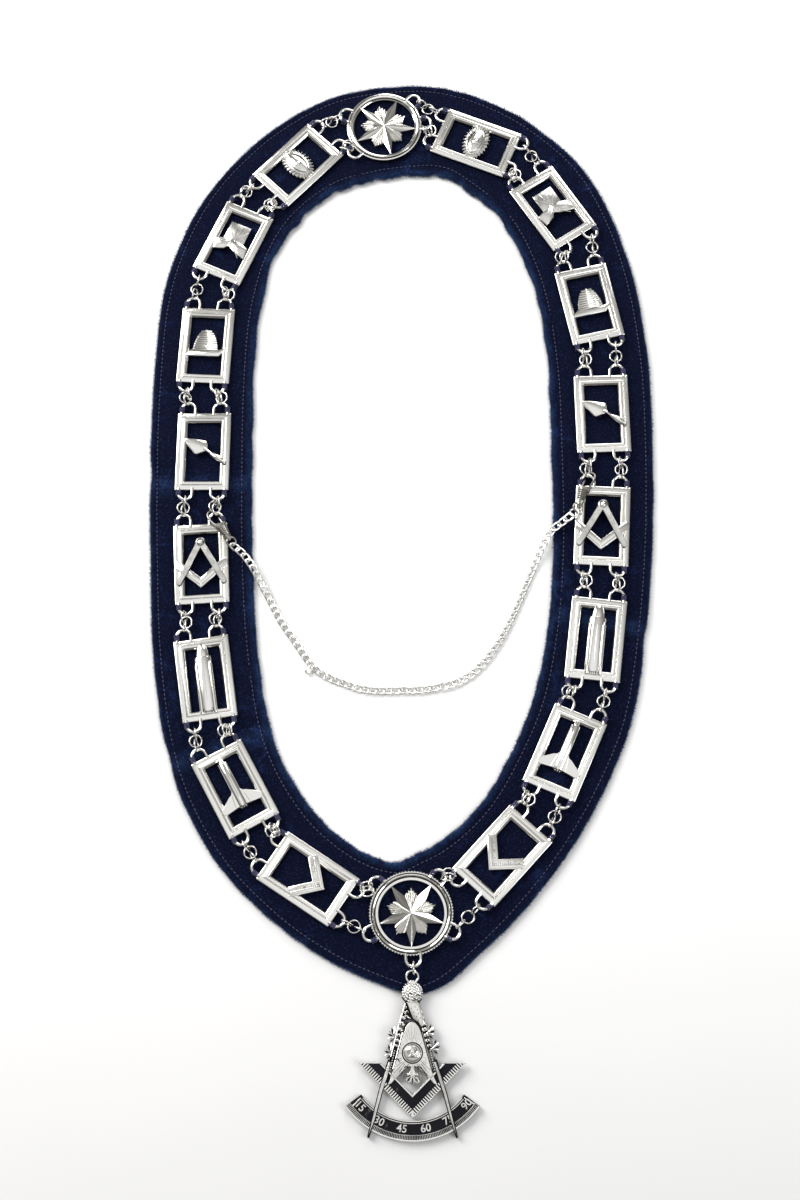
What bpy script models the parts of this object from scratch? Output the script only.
"""Chain of office: a velvet neck collar, two rows of jump rings, plaques, medallions and a jewel.

The collar lies flat with the neck edge towards +Y and the jewel towards -Y. All lengths are metres.
"""

import math

import bmesh
import bpy
from mathutils import Matrix, Vector

MM = 0.001

# Rectangular plaques
PLAQUE_LENGTH = 38.1 * MM
PLAQUE_WIDTH = 0.656 * PLAQUE_LENGTH

# Collar, laid flat, long enough for eight plaques and two medallions on each arm
COLLAR_DROP = 11.52 * PLAQUE_LENGTH
COLLAR_WIDTH = 0.5354 * COLLAR_DROP
BAND_WIDTH = 1.88 * PLAQUE_WIDTH
CLOTH = 2.3 * MM
EDGE_SHARE = 0.55
FOLD_SHARE = 0.05
FLAT_SHARE = 0.11
STATIONS_PER_SECTION = 2
# Stations on either side of one that give the edge's direction there
TANGENT_REACH = 4

# Plaque mouldings and emblems
PLAQUE_THICK = 2.8 * MM
LIP_WIDTH = 1.2 * MM
LIP_HEIGHT = 1.9 * MM
GROOVE_HEIGHT = 1.5 * MM
RIDGE_INSET = 2.6 * MM
RAIL_WIDTH = 4.75 * MM
SILL_HEIGHT = 2.0 * MM
EMBLEM_BACK = 0.7 * MM
EMBLEM_TOP = 3.1 * MM
EMBLEM_STEP = 0.25 * MM
EYE_RAYS = 14
EYE_ACROSS = 0.74
EYE_ALONG = 0.33
EYE_NOTCH = 0.84
LID_ACROSS = 0.55
LID_ALONG = 0.42
RAY_STEP = 0.5 * MM
HINGE_RADIUS = 2.8 * MM
HINGE_ALONG = 0.50

# Sewing loops on the plaques and medallions
LOOP_RADIUS = 0.084 * PLAQUE_LENGTH
LOOP_WIRE = 1.5 * MM
LOOP_LEG = 0.042 * PLAQUE_LENGTH
LOOP_SPREAD = 0.6 * PLAQUE_WIDTH
LOOP_HEIGHT = 2.05 * MM
LOOP_ROOT = 0.8 * MM
LOOP_BENDS = 5

# Pendant's jump ring, and the tubes that hold the place of the finer strands
RING_RADIUS = 2.8 * MM
RING_WIRE = 0.9 * MM
RING_SIDES = 10
RING_ADVANCE = 0.8 * MM
WIRE_SIDES = 5
STRAND_TUBE = 1.8 * MM
STRAND_FOOT = 0.9 * MM
STRAND_ADVANCE = 0.3 * MM
HOOK_SIDESTEP = 0.8 * MM

# Medallions
MEDALLION_RADIUS = 0.4724 * PLAQUE_LENGTH
TOP_RIM_WIDTH = 3.0 * MM
BOTTOM_RIM_WIDTH = 3.9 * MM
MEDALLION_THICK = 2.8 * MM
STAR_HEIGHT = 3.3 * MM
STAR_EDGE = 1.7 * MM
RIM_SIDES = 20

# Cross chain and its snap hooks
HOOKED_PLAQUE = 5
CHAIN_WIDTH = 3.6 * MM
HOOK_WIRE = 1.0 * MM
HOOK_SLEEVE_LENGTH = 7.0 * MM
HOOK_EYE_RADIUS = 1.8 * MM
HOOK_EYE_SLOPE = 0.25
HOOK_EYE_DROP = 0.5 * MM
HOOK_ROOT = 0.8 * MM

# Jewel
KNOB_RADIUS = 4.4 * MM
KNOB_THICK = 3.4 * MM
ARC_RADIUS = 35.4 * MM
ARC_DROP = 26.3 * MM
ARC_HALF_ANGLE = 53.5
SUN_DROP = 25.4 * MM
SUN_RADIUS = 4.3 * MM
SUN_THICK = 3.4 * MM
DOME_SIDES = 10
ARC_STEPS = 12
EYE_RADIUS = 2.6 * MM
EYE_WIRE = 1.0 * MM
EYE_HEIGHT = 1.8 * MM
JEWEL_SLACK = 1.65 * MM
JEWEL_SIDESTEP = 1.0 * MM
JEWEL_TURN = -2.5
JEWEL_LEAN = 2.2

GAP = 0.3 * MM
SEAT = CLOTH + GAP
HALF_WIDTH = COLLAR_WIDTH / 2
HALF_DROP = COLLAR_DROP / 2

# The collar's sections, one every 12 degrees from the tip, anticlockwise.
# reach: the outer edge, as a share of the half width and half drop
# band: the band's width there, as a share of BAND_WIDTH
SECTION_STEP = 12
SECTIONS = (
    # reach, band
    (1.000, 1.21), (0.953, 1.10), (0.926, 0.99), (0.921, 0.93), (0.932, 0.94),
    (0.952, 0.95), (0.950, 0.94), (0.962, 0.96), (0.993, 0.99), (1.048, 1.00),
    (1.097, 1.00), (1.111, 1.02), (1.077, 1.02), (1.041, 0.98), (1.016, 1.04),
    (1.000, 1.05), (1.006, 1.06), (1.020, 1.00), (1.046, 0.97), (1.075, 0.97),
    (1.077, 1.01), (1.033, 1.01), (1.005, 1.01), (1.007, 1.00), (1.039, 1.01),
    (1.069, 1.01), (1.054, 1.01), (1.019, 1.00), (0.996, 1.03), (0.991, 1.10),
)

# Crush folds at the collar's edges: where, half span in degrees, rise of each edge as a share of CLOTH
FOLDS = (
    # angle, span, outer, inner
    (24, 9, 0.25, 0.45),
    (48, 8, 0.15, 0.60),
    (72, 7, 0.10, 0.75),
    (92, 6, 0.20, 0.55),
    (112, 7, 0.10, 0.80),
    (134, 8, 0.20, 0.50),
    (170, 5, 0.55, 0.15),
    (203, 5, 0.60, 0.15),
    (236, 8, 0.25, 0.30),
    (304, 8, 0.25, 0.30),
    (344, 5, 0.50, 0.20),
)

# The plaques from the top medallion down: across and along as shares of the half width and half drop,
# and the turn in degrees that their upper end makes from +Y
PLAQUES = {
    "left": (
        # emblem, across, along, turn
        ("eye", -0.375, 0.813, -47.0),
        ("book", -0.650, 0.631, -27.0),
        ("beehive", -0.769, 0.392, -5.6),
        ("trowel", -0.786, 0.149, -3.1),
        ("compasses", -0.800, -0.100, 0.7),
        ("rocket", -0.791, -0.347, 5.7),
        ("shuttle", -0.685, -0.579, 25.8),
        ("square", -0.421, -0.767, 54.0),
    ),
    "right": (
        ("eye", 0.363, 0.843, 64.7),
        ("book", 0.660, 0.673, 30.6),
        ("beehive", 0.780, 0.441, 9.6),
        ("trowel", 0.798, 0.187, -1.3),
        ("compasses", 0.764, -0.062, -5.9),
        ("rocket", 0.708, -0.305, -9.4),
        ("shuttle", 0.561, -0.537, -26.1),
        ("square", 0.304, -0.739, -44.9),
    ),
}

# How a strand's tube rises out of a loop
STRAND_ARCH = (
    # millimetres along from its end, share of its rise
    (0.0, 0.0), (0.1, 0.75), (1.3, 1.0),
)

# Medallions: place as shares, the star's turn, and the bearing of each sewing loop
MEDALLIONS = {
    "top": dict(
        across=-0.012, along=0.894, star_turn=64.0,
        loops={"left_outer": 158.0, "left_inner": -139.0, "right_outer": 41.0, "right_inner": 2.0},
    ),
    "bottom": dict(
        across=-0.043, along=-0.845, star_turn=-92.0,
        loops={"left_outer": -156.0, "left_inner": 138.0, "right_outer": -27.0, "right_inner": 50.0},
    ),
}

# One fifth of a medallion's star: degrees past the long point, share of the rim's inner radius
STAR_POINTS = (
    # turn, reach
    (0, 1.04), (20, 0.42), (28, 0.62), (44, 0.62), (52, 0.42),
)

# Emblem outlines, across and along as shares of the plaque's half width and half length
EMBLEMS = {
    "book": (
        ((-0.42, 0.02), (0.42, 0.02), (0.42, 0.52), (-0.42, 0.52)),
        ((-0.06, 0.08), (-0.72, -0.04), (-0.62, -0.34), (-0.10, -0.14)),
        ((-0.06, 0.08), (0.14, -0.16), (0.70, -0.32), (0.62, -0.02), (0.30, 0.06)),
    ),
    "beehive": (
        ((-0.50, -0.14), (0.52, -0.14), (0.50, 0.06), (0.36, 0.24), (0.14, 0.37), (0.0, 0.40),
         (-0.16, 0.36), (-0.36, 0.22), (-0.47, 0.06)),
        ((-0.78, -0.30), (0.52, -0.30), (0.82, -0.06), (0.50, -0.12), (-0.50, -0.12)),
    ),
    "trowel": (
        ((-0.82, 0.44), (0.12, 0.29), (0.22, 0.02), (-0.30, -0.10)),
        ((0.08, 0.06), (0.24, 0.06), (0.40, -0.10), (0.62, -0.20), (0.90, -0.40), (0.80, -0.46),
         (0.50, -0.34), (0.30, -0.18)),
    ),
    "compasses": (
        ((-0.16, 0.50), (0.0, 0.62), (0.16, 0.50), (0.94, -0.44), (0.84, -0.52), (0.02, 0.32),
         (-0.82, -0.52), (-0.92, -0.44)),
        ((0.0, -0.60), (0.98, -0.02), (0.84, 0.12), (0.0, -0.36), (-0.84, 0.12), (-0.98, -0.02)),
    ),
    "rocket": (
        ((-0.31, -0.80), (0.31, -0.80), (0.31, 0.53), (0.24, 0.61), (0.20, 0.74), (0.10, 0.87),
         (-0.10, 0.87), (-0.20, 0.74), (-0.24, 0.61), (-0.31, 0.53)),
    ),
    "shuttle": (
        ((0.0, 0.86), (0.14, 0.72), (0.21, 0.56), (0.21, 0.02), (0.80, -0.34), (0.80, -0.48),
         (0.28, -0.34), (0.12, -0.44), (-0.12, -0.44), (-0.28, -0.34), (-0.80, -0.48), (-0.80, -0.34),
         (-0.21, 0.02), (-0.21, 0.56), (-0.14, 0.72)),
    ),
    "square": (
        ((0.0, -0.46), (0.86, 0.10), (0.62, 0.26), (0.0, -0.14), (-0.62, 0.26), (-0.86, 0.10)),
    ),
}

# The cross chain's route between the hooks' eyes, as shares of the half width and half drop
CHAIN_ROUTE = (
    # across, along, height of its middle in millimetres
    (-0.634, -0.085, 4.6), (-0.600, -0.113, 4.3), (-0.561, -0.156, 2.5), (-0.528, -0.193, 1.9),
    (-0.499, -0.226, 1.85), (-0.461, -0.260, 1.85), (-0.428, -0.288, 1.85), (-0.386, -0.323, 1.85),
    (-0.340, -0.348, 1.85), (-0.272, -0.366, 1.85), (-0.200, -0.381, 1.85), (-0.132, -0.387, 1.85),
    (-0.051, -0.389, 1.85), (0.026, -0.390, 1.85), (0.089, -0.387, 1.85), (0.151, -0.380, 1.85),
    (0.209, -0.367, 1.85), (0.264, -0.344, 1.85), (0.315, -0.313, 1.85), (0.363, -0.274, 1.85),
    (0.412, -0.225, 1.85), (0.473, -0.157, 1.9), (0.517, -0.108, 2.5), (0.562, -0.070, 4.4),
    (0.604, -0.053, 4.8), (0.637, -0.042, 6.3),
)
# Where the chain ends beside each hook's eye, in millimetres
CHAIN_END_MM = {"left": (0.9, -1.4, 4.9), "right": (-1.1, -1.9, 7.5)}

# The hook's wire, in millimetres from where it rounds the loop: along the hook, sideways, height
HOOK_PATH_MM = (
    (-7.6, 1.4, 7.0), (-4.5, 2.4, 6.6), (-1.0, 2.9, 6.4), (1.0, 2.2, 5.8), (1.9, 0.8, 4.9),
    (1.8, -0.7, 3.8), (0.6, -1.6, 3.12), (-1.0, -1.9, 3.12), (-2.5, -1.5, 3.7), (-3.2, -1.3, 4.9),
    (-3.9, -1.3, 6.0), (-5.2, -1.4, 6.6), (-7.6, -1.4, 7.0),
)
HOOK_LEAN = {"left": 31.0, "right": -23.0}

# The hook's tapered sleeve
SLEEVE_SECTIONS = (
    # share of its length, width and thickness in millimetres
    (0, 5.0, 2.4), (0.8, 3.2, 2.2), (1, 2.2, 1.8),
)
SLEEVE_OUTLINE = ((1, 0.5), (0.6, 1), (-0.6, 1), (-1, 0.5), (-1, -0.5), (-0.6, -1), (0.6, -1), (1, -0.5))

# The jewel's raised pieces in millimetres: low and high faces, then the outline below the knob's centre.
# A mirrored piece stands on both sides.
JEWEL_OUTLINES = (
    # name, mirrored, low, high, outline
    ("leg", True, 0.25, 2.6, ((3.6, -2.0), (-1.0, -2.0), (0.0, -11.6), (4.58, -24.0), (16.3, -58.4),
                              (18.1, -58.4), (9.18, -24.0))),
    ("square", False, 0.1, 1.6, ((0, -52.4), (22.7, -29.7), (18.0, -25.0), (0, -43.0), (-18.0, -25.0),
                                 (-22.7, -29.7))),
    ("rule", False, 0.35, 2.1, ((0, -52.5), (22.5, -30.0), (20.86, -28.16), (0, -48.72), (-20.86, -28.16),
                                (-22.5, -30.0))),
    ("glory", False, 0.4, 1.5, ((-1.8, -11.0), (-5.4, -21.0), (-9.6, -32.0), (-7.0, -37.0), (-3.6, -31.5),
                                (3.6, -31.5), (7.0, -37.0), (9.6, -32.0), (5.4, -21.0), (1.8, -11.0))),
    ("leaf", False, 0.5, 1.8, ((-1.4, -30.5), (-2.0, -34.5), (-3.2, -37.0), (-0.9, -36.2), (0.0, -39.0),
                               (0.9, -36.2), (3.2, -37.0), (2.0, -34.5), (1.4, -30.5))),
    ("upper_spray", True, 0.6, 1.7, ((4.2, -21.1), (8.0, -20.9), (10.8, -18.7), (9.8, -16.1),
                                     (6.8, -18.1))),
    ("lower_spray", True, 0.6, 1.7, ((6.2, -26.9), (10.0, -26.7), (12.8, -24.5), (11.8, -21.9),
                                     (8.8, -23.9))),
)

# The arc's bands in millimetres
ARC_BANDS = (
    # name, inner and outer radius, low, high, degrees short of the arc's end
    ("band", 27.1, 35.4, 0.0, 1.4, 0.0),
    ("outer_rim", 33.0, 35.45, 0.3, 2.1, 0.4),
    ("inner_rim", 27.05, 28.2, 0.2, 2.0, 3.0),
)
DOME_PROFILE = ((0.86, 0.0), (1.0, 0.4), (0.8, 0.8), (0.35, 1.0))


def clear_scene():
    for thing in list(bpy.data.objects):
        bpy.data.objects.remove(thing)


def finish(name, colour, roughness, metallic):
    """A plain Principled material."""
    material = bpy.data.materials.new(name)
    material.use_nodes = True
    shader = material.node_tree.nodes["Principled BSDF"]
    shader.inputs["Base Color"].default_value = (*colour, 1)
    shader.inputs["Roughness"].default_value = roughness
    shader.inputs["Metallic"].default_value = metallic
    return material


def mesh_object(name, points, faces):
    mesh = bpy.data.meshes.new(name)
    mesh.from_pydata([tuple(point) for point in points], [], faces)
    shape = bmesh.new()
    shape.from_mesh(mesh)
    bmesh.ops.recalc_face_normals(shape, faces=shape.faces)
    shape.to_mesh(mesh)
    shape.free()
    thing = bpy.data.objects.new(name, mesh)
    bpy.context.collection.objects.link(thing)
    return thing


def loft(name, rings, closed=False):
    """Joins rings of points, with end caps unless the last ring meets the first."""
    size = len(rings[0])
    points = [point for ring in rings for point in ring]
    spans = len(rings) if closed else len(rings) - 1
    faces = []
    for span in range(spans):
        here, there = span * size, (span + 1) % len(rings) * size
        for side in range(size):
            after = (side + 1) % size
            faces.append((here + side, here + after, there + after, there + side))
    if not closed:
        faces.append(tuple(range(size)))
        faces.append(tuple(range((len(rings) - 1) * size, len(rings) * size)))
    return mesh_object(name, points, faces)


def prism(name, outline, low, high):
    rings = [[(x, y, height) for x, y in outline] for height in (low, high)]
    return loft(name, rings)


def wire(name, path, diameter, sides=WIRE_SIDES):
    """A round wire along a path of points, with flat ends."""
    radius = diameter / 2
    rings = []
    side = None
    for index, point in enumerate(path):
        ahead = path[min(index + 1, len(path) - 1)] - path[max(index - 1, 0)]
        ahead.normalize()
        if side is None:
            side = ahead.orthogonal().normalized()
        side = (side - ahead * side.dot(ahead)).normalized()
        up = ahead.cross(side)
        turns = [math.tau * step / sides for step in range(sides)]
        rings.append([point + (side * math.cos(t) + up * math.sin(t)) * radius for t in turns])
    return loft(name, rings)


def ring(name, centre, across, up, radius, wire_diameter):
    """A jump ring whose plane holds the two unit directions."""
    normal = across.cross(up)
    rings = []
    for step in range(RING_SIDES):
        turn = math.tau * (step + 0.5) / RING_SIDES
        out = across * math.cos(turn) + up * math.sin(turn)
        middle = centre + out * radius
        bends = [math.tau * bend / WIRE_SIDES for bend in range(WIRE_SIDES)]
        rings.append([middle + (out * math.cos(b) + normal * math.sin(b)) * wire_diameter / 2 for b in bends])
    return loft(name, rings, closed=True)


def turned(name, profile, sides):
    """A turned shape from radius and height pairs; a closed profile that is clear of the axis."""
    rings = []
    for step in range(sides):
        turn = math.tau * step / sides
        rings.append([(r * math.cos(turn), r * math.sin(turn), z) for r, z in profile])
    return loft(name, rings, closed=True)


def fuse(name, pieces, material):
    """Unites overlapping pieces into one body."""
    base = pieces[0]
    for piece in pieces[1:]:
        union = base.modifiers.new(piece.name, "BOOLEAN")
        union.operation = "UNION"
        union.object = piece
    mesh = bpy.data.meshes.new_from_object(base.evaluated_get(bpy.context.evaluated_depsgraph_get()))
    for piece in pieces:
        bpy.data.objects.remove(piece)
    mesh.name = name
    mesh.materials.clear()
    mesh.materials.append(material)
    mesh.shade_smooth()
    mesh.set_sharp_from_angle(angle=math.radians(40))
    thing = bpy.data.objects.new(name, mesh)
    bpy.context.collection.objects.link(thing)
    return thing


def smooth(rows, closed_step):
    """Points on a smooth curve through the rows, with closed_step points for each span."""
    points = []
    for index in range(len(rows) - 1):
        before = rows[index - 1] if index else rows[0] * 2 - rows[1]
        start, end = rows[index], rows[index + 1]
        after = rows[index + 2] if index + 2 < len(rows) else end * 2 - start
        for step in range(closed_step):
            t = step / closed_step
            points.append(
                0.5 * (2 * start + (end - before) * t + (2 * before - 5 * start + 4 * end - after) * t**2
                       + (3 * start - before - 3 * end + after) * t**3)
            )
    return points


def collar_outlines():
    """The collar's outer and inner edges, station by station, and each station's angle."""
    rows = [Vector((reach, band)) for reach, band in SECTIONS + SECTIONS[:1]]
    shares = smooth(rows, STATIONS_PER_SECTION)
    step = SECTION_STEP / STATIONS_PER_SECTION
    angles = [index * step - 90 for index in range(len(shares))]
    outer = []
    for angle, share in zip(angles, shares):
        turn = math.radians(angle)
        outer.append(Vector((HALF_WIDTH * math.cos(turn), HALF_DROP * math.sin(turn))) * share.x)
    inner = []
    for index, share in enumerate(shares):
        along = outer[(index + TANGENT_REACH) % len(outer)] - outer[index - TANGENT_REACH]
        inwards = Vector((-along.y, along.x)).normalized()
        inner.append(outer[index] + inwards * BAND_WIDTH * share.y)
    return outer, inner, angles


def fold_rise(angle, edge):
    """How far the crush folds raise an edge there, as a share of CLOTH."""
    rise = 0
    for fold in FOLDS:
        away = (angle - fold[0] + 180) % 360 - 180
        rise += fold[edge] * math.exp(-((away / fold[1]) ** 2))
    return rise


def velvet_collar(material):
    outer, inner, angles = collar_outlines()
    rings = []
    for out, into, angle in zip(outer, inner, angles):
        heights = (
            (0, EDGE_SHARE), (FOLD_SHARE, 1 + fold_rise(angle, 2)), (FLAT_SHARE, 1),
            (1 - FLAT_SHARE, 1), (1 - FOLD_SHARE, 1 + fold_rise(angle, 3)), (1, EDGE_SHARE),
        )
        section = []
        for share, height in heights:
            section.append(out.lerp(into, share).to_3d() + Vector((0, 0, CLOTH * height)))
        section += [into.to_3d(), out.to_3d()]
        rings.append(section)
    collar = loft("velvet_collar", rings, closed=True)
    collar.data.materials.append(material)
    return collar


def sewing_loop(centre, direction):
    """A half ring standing out of an edge; centre is the middle of its arc."""
    across = Vector((-direction.y, direction.x, 0))
    inside = direction * (LOOP_LEG + LOOP_ROOT)
    path = [centre - inside + across * LOOP_RADIUS]
    for step in range(1, LOOP_BENDS):
        turn = math.pi * step / LOOP_BENDS
        path.append(centre + (across * math.cos(turn) + direction * math.sin(turn)) * LOOP_RADIUS)
    path.append(centre - inside - across * LOOP_RADIUS)
    return wire("loop", path, LOOP_WIRE)


def plaque_loop_places():
    """Arc centre and outward direction of the four loops, in the plaque's own frame."""
    places = {}
    for end_name, end in (("upper", 1), ("lower", -1)):
        for side_name, side in (("left", -1), ("right", 1)):
            centre = Vector((side * LOOP_SPREAD / 2, end * (PLAQUE_LENGTH / 2 + LOOP_LEG), LOOP_HEIGHT))
            places[end_name, side_name] = (centre, Vector((0, end, 0)))
    return places


def picture_frame():
    """The plaque's rim: outer lip, groove, raised inner slope and the window's sill."""
    profile = (
        (0, 0), (0, LIP_HEIGHT), (LIP_WIDTH, GROOVE_HEIGHT), (RIDGE_INSET, PLAQUE_THICK),
        (RAIL_WIDTH, SILL_HEIGHT), (RAIL_WIDTH, 0),
    )
    rings = []
    for across, along in ((1, 1), (-1, 1), (-1, -1), (1, -1)):
        rings.append([
            (across * (PLAQUE_WIDTH / 2 - inset), along * (PLAQUE_LENGTH / 2 - inset), height)
            for inset, height in profile
        ])
    return loft("frame", rings, closed=True)


def emblem(kind):
    """The cast emblem that crosses the plaque's window."""
    half_width, half_length = PLAQUE_WIDTH / 2, PLAQUE_LENGTH / 2
    if kind == "eye":
        rim = []
        for step in range(EYE_RAYS * 2):
            turn = math.pi * step / EYE_RAYS
            reach = 1.0 if step % 2 else EYE_NOTCH
            rim.append((half_width * EYE_ACROSS * reach * math.cos(turn),
                        half_length * EYE_ALONG * reach * math.sin(turn)))
        lid = [(x * LID_ACROSS, y * LID_ALONG) for x, y in rim[::4]]
        rays = prism("rays", rim, EMBLEM_BACK, EMBLEM_TOP - RAY_STEP)
        return [rays, prism("lid", lid, SILL_HEIGHT, EMBLEM_TOP)]
    pieces = []
    for number, shares in enumerate(EMBLEMS[kind]):
        outline = [(across * half_width, along * half_length) for across, along in shares]
        step = EMBLEM_STEP * number
        pieces.append(prism(kind, outline, EMBLEM_BACK + step, EMBLEM_TOP - step))
    if kind == "compasses":
        knob = turned_dome("knob", HINGE_RADIUS, EMBLEM_TOP + EMBLEM_STEP)
        knob.data.transform(Matrix.Translation((0, HINGE_ALONG * half_length, 0)))
        pieces.append(knob)
    return pieces


def plaque_mesh(kind, material):
    pieces = [picture_frame()] + emblem(kind)
    pieces += [sewing_loop(centre, direction) for centre, direction in plaque_loop_places().values()]
    plaque = fuse(kind + "_plaque", pieces, material)
    mesh = plaque.data
    bpy.data.objects.remove(plaque)
    return mesh


def medallion(which, material):
    facts = MEDALLIONS[which]
    rim = TOP_RIM_WIDTH if which == "top" else BOTTOM_RIM_WIDTH
    inner = MEDALLION_RADIUS - rim
    middle = MEDALLION_RADIUS - rim / 2
    body = turned("rim", (
        (MEDALLION_RADIUS, 0), (MEDALLION_RADIUS, LIP_HEIGHT), (middle, MEDALLION_THICK),
        (inner, SILL_HEIGHT), (inner, 0),
    ), RIM_SIDES)
    outline = []
    for point in range(5):
        bearing = facts["star_turn"] + 72 * point
        for turn, reach in STAR_POINTS:
            angle = math.radians(bearing + turn)
            outline.append(Vector((math.cos(angle), math.sin(angle))) * inner * reach)
    count = len(outline)
    points = [(p.x, p.y, EMBLEM_BACK) for p in outline] + [(p.x, p.y, STAR_EDGE) for p in outline]
    points += [(0, 0, EMBLEM_BACK), (0, 0, STAR_HEIGHT)]
    faces = []
    for side in range(count):
        after = (side + 1) % count
        faces += [(side, after, count + after, count + side), (after, side, 2 * count),
                  (count + side, count + after, 2 * count + 1)]
    pieces = [body, mesh_object("star", points, faces)]
    bearings = list(facts["loops"].values())
    if which == "bottom":
        bearings.append(-90.0)
    for bearing in bearings:
        direction = bearing_direction(bearing)
        centre = direction * (MEDALLION_RADIUS + LOOP_LEG) + Vector((0, 0, LOOP_HEIGHT))
        pieces.append(sewing_loop(centre, direction))
    thing = fuse("medallion_" + which, pieces, material)
    thing.location = medallion_place(which)
    return thing


def bearing_direction(bearing):
    turn = math.radians(bearing)
    return Vector((math.cos(turn), math.sin(turn), 0))


def medallion_place(which):
    facts = MEDALLIONS[which]
    return Vector((facts["across"] * HALF_WIDTH, facts["along"] * HALF_DROP, SEAT))


def plaque_place(row):
    turn = Matrix.Rotation(math.radians(row[3]), 4, "Z")
    return Matrix.Translation((row[1] * HALF_WIDTH, row[2] * HALF_DROP, SEAT)) @ turn


def loop_centre(side, index, end, lane):
    """World place of a loop's arc centre. Index 0 is the top medallion, 9 the bottom one."""
    if index in (0, 9):
        which = "top" if index == 0 else "bottom"
        direction = bearing_direction(MEDALLIONS[which]["loops"][side + "_" + lane])
        reach = MEDALLION_RADIUS + LOOP_LEG
        return medallion_place(which) + direction * reach + Vector((0, 0, LOOP_HEIGHT))
    hand = side if lane == "outer" else {"left": "right", "right": "left"}[side]
    centre, _ = plaque_loop_places()[end, hand]
    return plaque_place(PLAQUES[side][index - 1]) @ centre


def tube_object(name, path, diameter, material):
    """A closed tube along a path, as a curve with filled ends."""
    curve = bpy.data.curves.new(name, "CURVE")
    curve.dimensions = "3D"
    curve.bevel_depth = diameter / 2
    curve.bevel_resolution = 2
    curve.use_fill_caps = True
    spline = curve.splines.new("POLY")
    spline.points.add(len(path) - 1)
    for point, place in zip(spline.points, path):
        point.co = (*place, 1)
    curve.materials.append(material)
    tube = bpy.data.objects.new(name, curve)
    bpy.context.collection.objects.link(tube)
    return tube


def strand(name, start, end, material, sidestep):
    """A strand of jump rings as one arched tube, threaded down through the loops at both ends."""
    along = (end - start).normalized()
    first = start + along * STRAND_ADVANCE
    last = end - along * STRAND_ADVANCE + sidestep
    first.z = last.z = SEAT + STRAND_FOOT
    chord = (last - first).normalized()
    rise = PLAQUE_THICK + GAP + STRAND_TUBE / 2 - STRAND_FOOT
    steps = [(chord * reach * MM, Vector((0, 0, rise * share))) for reach, share in STRAND_ARCH]
    path = [first + onward + upward for onward, upward in steps]
    path += [last - onward + upward for onward, upward in reversed(steps)]
    return tube_object(name, path, STRAND_TUBE, material)


def hook_frame(side):
    """Where a hook rounds its loop, and the hook's own direction."""
    centre = loop_centre(side, HOOKED_PLAQUE, "upper", "inner")
    direction = bearing_direction(90 + HOOK_LEAN[side])
    place = centre + direction * LOOP_RADIUS
    place.z = 0
    return place, direction


def snap_hook(side, material):
    """A bent spring wire held in a tapered sleeve, with the swivel eye behind it."""
    place, direction = hook_frame(side)
    hand = 1 if side == "left" else -1
    across = Vector((-direction.y, direction.x, 0)) * hand
    path = [place + (direction * h + across * s) * MM + Vector((0, 0, z * MM)) for h, s, z in HOOK_PATH_MM]
    front = HOOK_PATH_MM[0][0] * MM + HOOK_ROOT
    height = HOOK_PATH_MM[0][2] * MM
    rings = []
    for share, wide, thick in SLEEVE_SECTIONS:
        middle = place + direction * (front - HOOK_SLEEVE_LENGTH * share) + Vector((0, 0, height))
        rings.append([
            middle + (across * x * wide + Vector((0, 0, z * thick))) * MM / 2
            for x, z in SLEEVE_OUTLINE
        ])
    eye_out = HOOK_SLEEVE_LENGTH + HOOK_EYE_RADIUS - HOOK_WIRE / 4
    eye_place = place + direction * (front - eye_out) + Vector((0, 0, height - HOOK_EYE_DROP))
    slope = (direction + Vector((0, 0, HOOK_EYE_SLOPE))).normalized()
    pieces = [
        loft("sleeve", rings),
        wire("hook", path, HOOK_WIRE),
        ring("eye", eye_place, slope, across, HOOK_EYE_RADIUS, HOOK_WIRE),
    ]
    return fuse("snap_hook_" + side, pieces, material)


def hook_eye(side):
    """The far end of a hook's eye, at floor height."""
    place, direction = hook_frame(side)
    reach = HOOK_SLEEVE_LENGTH + 2 * HOOK_EYE_RADIUS + HOOK_WIRE / 4
    return place + direction * (HOOK_PATH_MM[0][0] * MM + HOOK_ROOT - reach)


def cross_chain(material):
    """The curb chain between the hooks, as a tube along its route."""
    ends = {side: hook_eye(side) + Vector(CHAIN_END_MM[side]) * MM for side in PLAQUES}
    route = [ends["left"]]
    for across, along, height in CHAIN_ROUTE:
        route.append(Vector((across * HALF_WIDTH, along * HALF_DROP, height * MM)))
    route.append(ends["right"])
    return tube_object("cross_chain", route, CHAIN_WIDTH, material)


def jewel_frame():
    """The jewel's own frame: its back at z 0 under the knob's centre, +Y towards the eye."""
    bail_end = medallion_place("bottom") - Vector((0, MEDALLION_RADIUS + LOOP_LEG + LOOP_RADIUS, 0))
    eye_reach = JEWEL_SLACK + EYE_RADIUS * 2 + KNOB_RADIUS - EYE_WIRE / 2
    place = Vector((bail_end.x - JEWEL_SIDESTEP, bail_end.y - eye_reach, SEAT))
    turn = Matrix.Rotation(math.radians(JEWEL_TURN), 4, "Z")
    lean = Matrix.Rotation(math.radians(JEWEL_LEAN), 4, "X")
    return Matrix.Translation(place) @ turn @ lean


def arc_piece(name, inner, outer, low, high, half_angle):
    """A stretch of ring about the arc's centre."""
    rings = []
    for step in range(ARC_STEPS + 1):
        turn = math.radians(-90 - half_angle + 2 * half_angle * step / ARC_STEPS)
        way = Vector((math.cos(turn), math.sin(turn)))
        corners = ((inner, low), (outer, low), (outer, high), (inner, high))
        rings.append([((way.x * r) * MM, (way.y * r) * MM - ARC_DROP, height * MM) for r, height in corners])
    return loft(name, rings)


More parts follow.
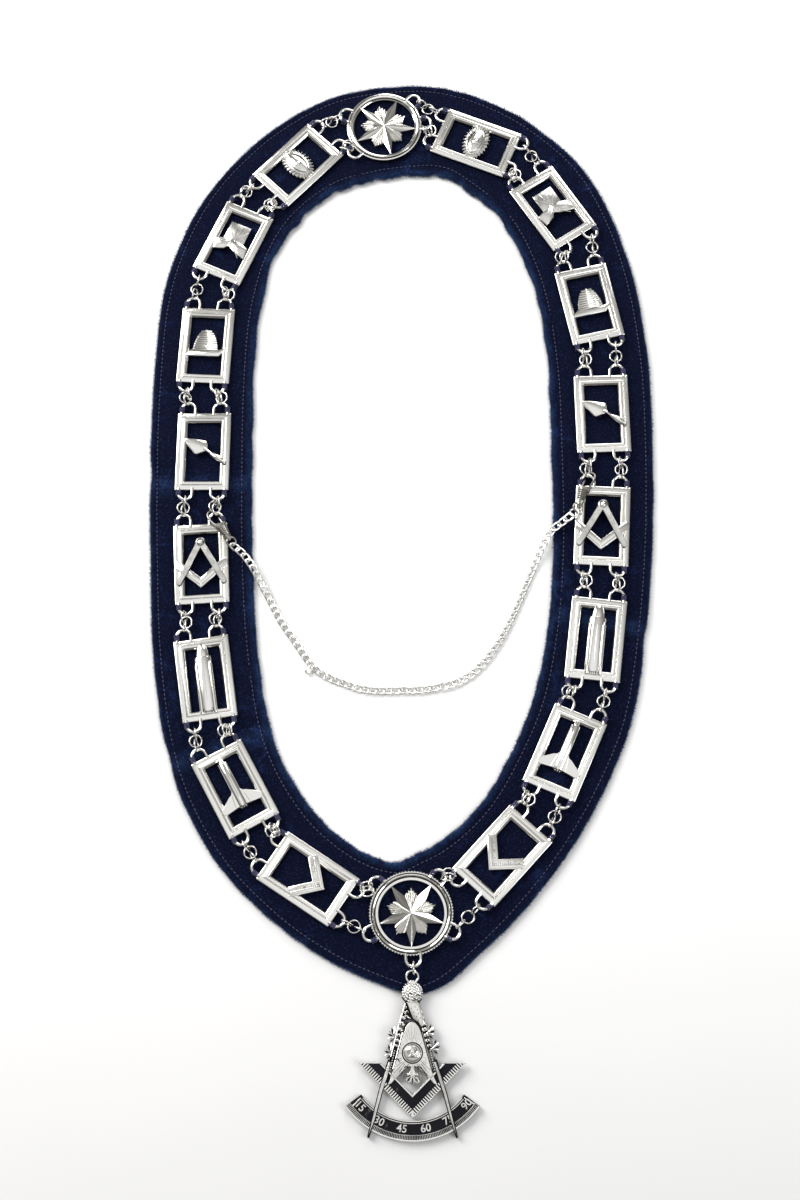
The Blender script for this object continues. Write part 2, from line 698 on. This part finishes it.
def jewel(material):
    """The cast jewel: knob, compass legs, rayed sun, square, leaf sprays and graduated arc."""
    pieces = [turned_dome("knob", KNOB_RADIUS, KNOB_THICK)]
    for name, mirrored, low, high, outline in JEWEL_OUTLINES:
        for hand in (1, -1) if mirrored else (1,):
            points = [(x * hand * MM, y * MM) for x, y in outline]
            pieces.append(prism(name, points, low * MM, high * MM))
    for name, inner, outer, low, high, short in ARC_BANDS:
        pieces.append(arc_piece(name, inner, outer, low, high, ARC_HALF_ANGLE - short))
    sun = turned_dome("sun", SUN_RADIUS, SUN_THICK)
    sun.data.transform(Matrix.Translation((0, -SUN_DROP, 0)))
    pieces.append(sun)
    eye_centre = Vector((0, KNOB_RADIUS - EYE_WIRE / 2 + EYE_RADIUS, EYE_HEIGHT))
    pieces.append(ring("eye", eye_centre, Vector((1, 0, 0)), Vector((0, 1, 0)), EYE_RADIUS, EYE_WIRE))
    thing = fuse("pendant_jewel", pieces, material)
    thing.matrix_world = jewel_frame()
    return thing


def turned_dome(name, radius, height):
    """A low round boss."""
    rings = []
    for reach, z in DOME_PROFILE:
        turns = [math.tau * step / DOME_SIDES for step in range(DOME_SIDES)]
        wide = radius * reach
        rings.append([(wide * math.cos(t), wide * math.sin(t), height * z) for t in turns])
    return loft(name, rings)


def pendant_ring(material):
    """The standing jump ring between the bottom medallion's bail and the jewel's eye."""
    reach = MEDALLION_RADIUS + LOOP_LEG + LOOP_RADIUS + RING_ADVANCE
    place = medallion_place("bottom") - Vector((0, reach, 0))
    place.z = SEAT + RING_RADIUS + RING_WIRE / 2
    thing = ring("pendant_ring", place, Vector((0, 1, 0)), Vector((0, 0, 1)), RING_RADIUS, RING_WIRE)
    thing.data.materials.append(material)
    return thing


def build():
    clear_scene()
    velvet = finish("navy_velvet", (0.010, 0.014, 0.045), 0.95, 0.0)
    silver = finish("bright_silver", (0.86, 0.86, 0.85), 0.18, 1.0)
    pewter = finish("hook_pewter", (0.45, 0.44, 0.42), 0.32, 1.0)
    root = bpy.data.objects.new("chain_of_office", None)
    bpy.context.collection.objects.link(root)
    pieces = [velvet_collar(velvet), medallion("top", silver), medallion("bottom", silver)]
    meshes = {row[0]: plaque_mesh(row[0], silver) for row in PLAQUES["left"]}
    for side, rows in PLAQUES.items():
        for number, row in enumerate(rows, 1):
            thing = bpy.data.objects.new(f"plaque_{side}_{number}_{row[0]}", meshes[row[0]])
            bpy.context.collection.objects.link(thing)
            thing.matrix_world = plaque_place(row)
            pieces.append(thing)
        for index in range(9):
            for lane in ("outer", "inner"):
                start = loop_centre(side, index, "lower", lane)
                end = loop_centre(side, index + 1, "upper", lane)
                sidestep = Vector()
                if lane == "inner" and index + 1 == HOOKED_PLAQUE:
                    sidestep.x = -HOOK_SIDESTEP if side == "left" else HOOK_SIDESTEP
                pieces.append(strand(f"strand_{side}_{lane}_{index + 1}", start, end, silver, sidestep))
    pieces += [snap_hook(side, pewter) for side in PLAQUES]
    pieces += [cross_chain(silver), jewel(silver), pendant_ring(silver)]
    for piece in pieces:
        piece.parent = root
    root.location = part_offset()
    bpy.context.view_layer.update()


def part_offset():
    """Moves the layout so that the origin is at the middle of the part's base."""
    outer, _, _ = collar_outlines()
    foot = jewel_frame() @ Vector((0, -ARC_DROP - ARC_RADIUS, 0))
    left, right = min(p.x for p in outer), max(p.x for p in outer)
    top = max(p.y for p in outer)
    return Vector((-(left + right) / 2, -(top + foot.y) / 2, 0))


build()
